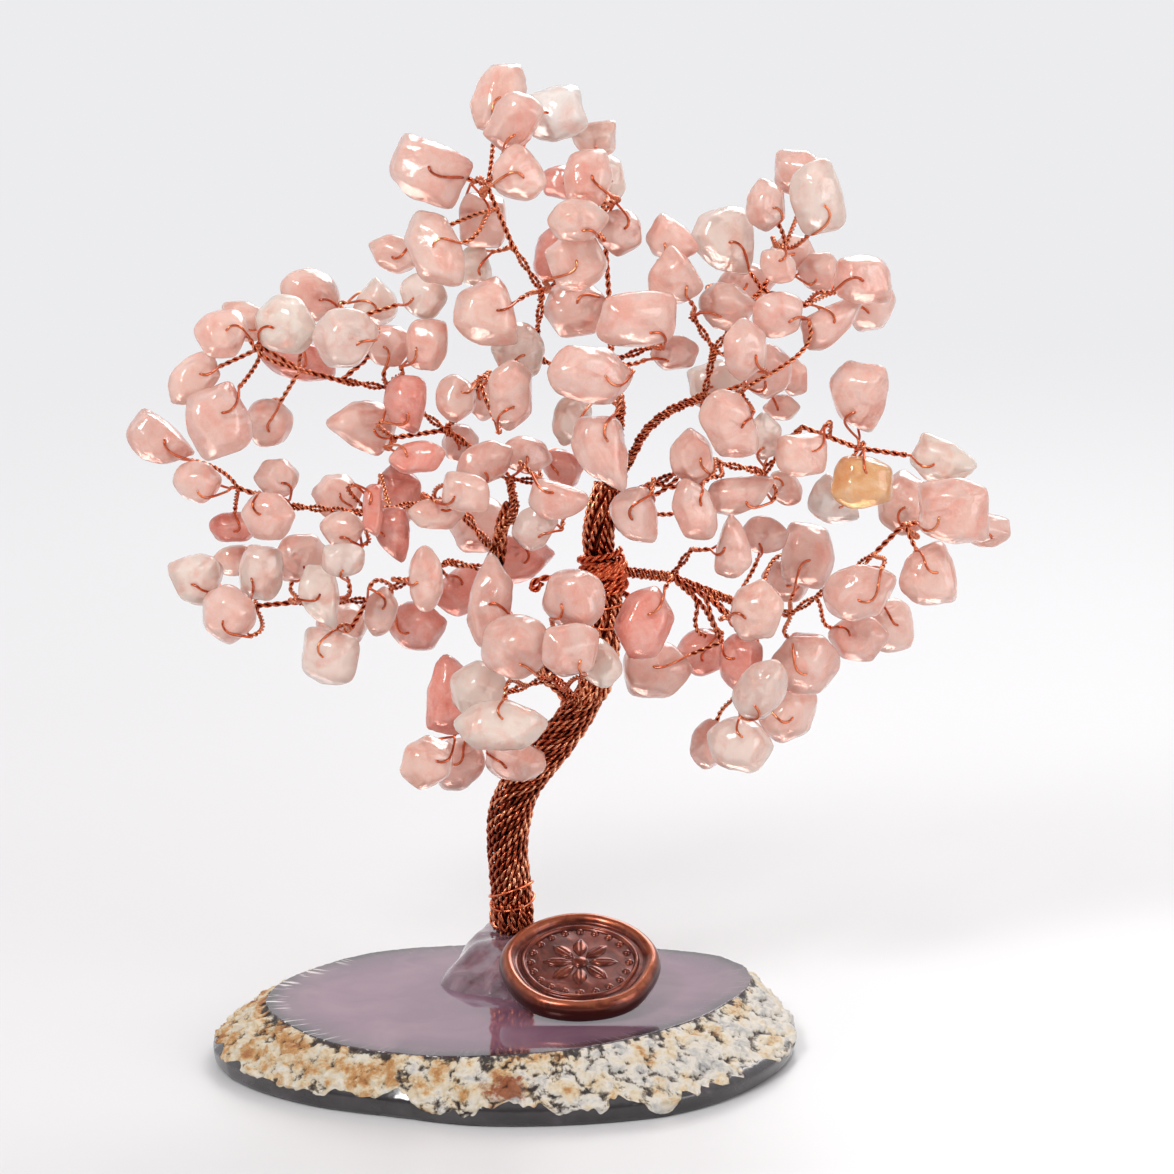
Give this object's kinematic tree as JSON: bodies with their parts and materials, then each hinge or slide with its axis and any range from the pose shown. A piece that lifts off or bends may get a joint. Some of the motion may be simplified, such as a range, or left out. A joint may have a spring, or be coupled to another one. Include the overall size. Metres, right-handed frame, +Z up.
{
  "type": "gemstone tree ornament",
  "caption": "Tabletop tree ornament: a twisted-wire trunk on a stone slice carries bendable wire boughs hung with tumbled stones, with a wax-seal disc at its foot.",
  "frame": {"origin": "the middle of the stone slice's flat underside", "axes": "+Z up, +X to the right of someone facing the wax seal, -Y towards them"},
  "size_m": [0.1931, 0.0944, 0.2106],
  "materials": {
    "agate_slice": "sawn agate slice, top polished, rim left as natural rind",
    "resin_mound": "clear pink-grey casting resin, poured and set",
    "wax_seal": "copper-brown sealing wax with a pearl lustre",
    "copper_wire": "bright bare copper wire, twisted in pairs",
    "rose_quartz": "tumbled and polished rose quartz chips, clear to deep pink"
  },
  "bodies": {
    "trunk_and_base": {"agate_slice": "agate_slice", "resin_mound": "resin_mound", "wax_seal": "wax_seal", "trunk_core": "copper_wire", "trunk_lower_strands": "copper_wire", "trunk_upper_strands": "copper_wire", "trunk_knot": "copper_wire", "trunk_bindings": "copper_wire", "trunk_left_limb": "copper_wire"},
    "crown_bough": {"crown_cords": "copper_wire", "crown_forks": "copper_wire", "crown_loops": "copper_wire", "crown_stones": "rose_quartz", "crown_twigs": "copper_wire"},
    "right_upper_bough": {"right_upper_cords": "copper_wire", "right_upper_forks": "copper_wire", "right_upper_loops": "copper_wire", "right_upper_stones": "rose_quartz", "right_upper_twigs": "copper_wire"},
    "right_middle_bough": {"right_middle_cords": "copper_wire", "right_middle_forks": "copper_wire", "right_middle_loops": "copper_wire", "right_middle_stones": "rose_quartz", "right_middle_twigs": "copper_wire"},
    "right_lower_bough": {"right_lower_cords": "copper_wire", "right_lower_forks": "copper_wire", "right_lower_loops": "copper_wire", "right_lower_stones": "rose_quartz", "right_lower_twigs": "copper_wire"},
    "left_upper_bough": {"left_upper_cords": "copper_wire", "left_upper_forks": "copper_wire", "left_upper_loops": "copper_wire", "left_upper_stones": "rose_quartz", "left_upper_twigs": "copper_wire"},
    "left_middle_bough": {"left_middle_cords": "copper_wire", "left_middle_forks": "copper_wire", "left_middle_loops": "copper_wire", "left_middle_stones": "rose_quartz", "left_middle_twigs": "copper_wire"},
    "left_lower_bough": {"left_lower_cords": "copper_wire", "left_lower_forks": "copper_wire", "left_lower_loops": "copper_wire", "left_lower_stones": "rose_quartz", "left_lower_twigs": "copper_wire"},
    "front_bough": {"front_cords": "copper_wire", "front_forks": "copper_wire", "front_loops": "copper_wire", "front_stones": "rose_quartz", "front_twigs": "copper_wire"}
  },
  "joints": [
    {"name": "crown_bend", "type": "hinge", "parent": "trunk_and_base", "child": "crown_bough", "pos_m": [0.02442, 0.02195, 0.13153], "axis": [0, 1, 0], "range_deg": [-5, 5]},
    {"name": "right_upper_bend", "type": "hinge", "parent": "trunk_and_base", "child": "right_upper_bough", "pos_m": [0.02697, 0.022, 0.12719], "axis": [0, 1, 0], "range_deg": [-5, 5]},
    {"name": "right_middle_bend", "type": "hinge", "parent": "trunk_and_base", "child": "right_middle_bough", "pos_m": [0.02655, 0.02177, 0.11856], "axis": [0, 1, 0], "range_deg": [-5, 5]},
    {"name": "right_lower_bend", "type": "hinge", "parent": "trunk_and_base", "child": "right_lower_bough", "pos_m": [0.02688, 0.022, 0.10207], "axis": [0, 1, 0], "range_deg": [-5, 5]},
    {"name": "left_upper_bend", "type": "hinge", "parent": "trunk_and_base", "child": "left_upper_bough", "pos_m": [0.00168, 0.02349, 0.11802], "axis": [0, 1, 0], "range_deg": [-5, 5]},
    {"name": "left_middle_bend", "type": "hinge", "parent": "trunk_and_base", "child": "left_middle_bough", "pos_m": [-0.00455, 0.0236, 0.10881], "axis": [0, 1, 0], "range_deg": [-5, 5]},
    {"name": "left_lower_bend", "type": "hinge", "parent": "trunk_and_base", "child": "left_lower_bough", "pos_m": [-0.00434, 0.02482, 0.10229], "axis": [0, 1, 0], "range_deg": [-5, 5]},
    {"name": "front_bend", "type": "hinge", "parent": "trunk_and_base", "child": "front_bough", "pos_m": [0.01449, 0.01776, 0.07498], "axis": [0, 1, 0], "range_deg": [-5, 5]}
  ]
}
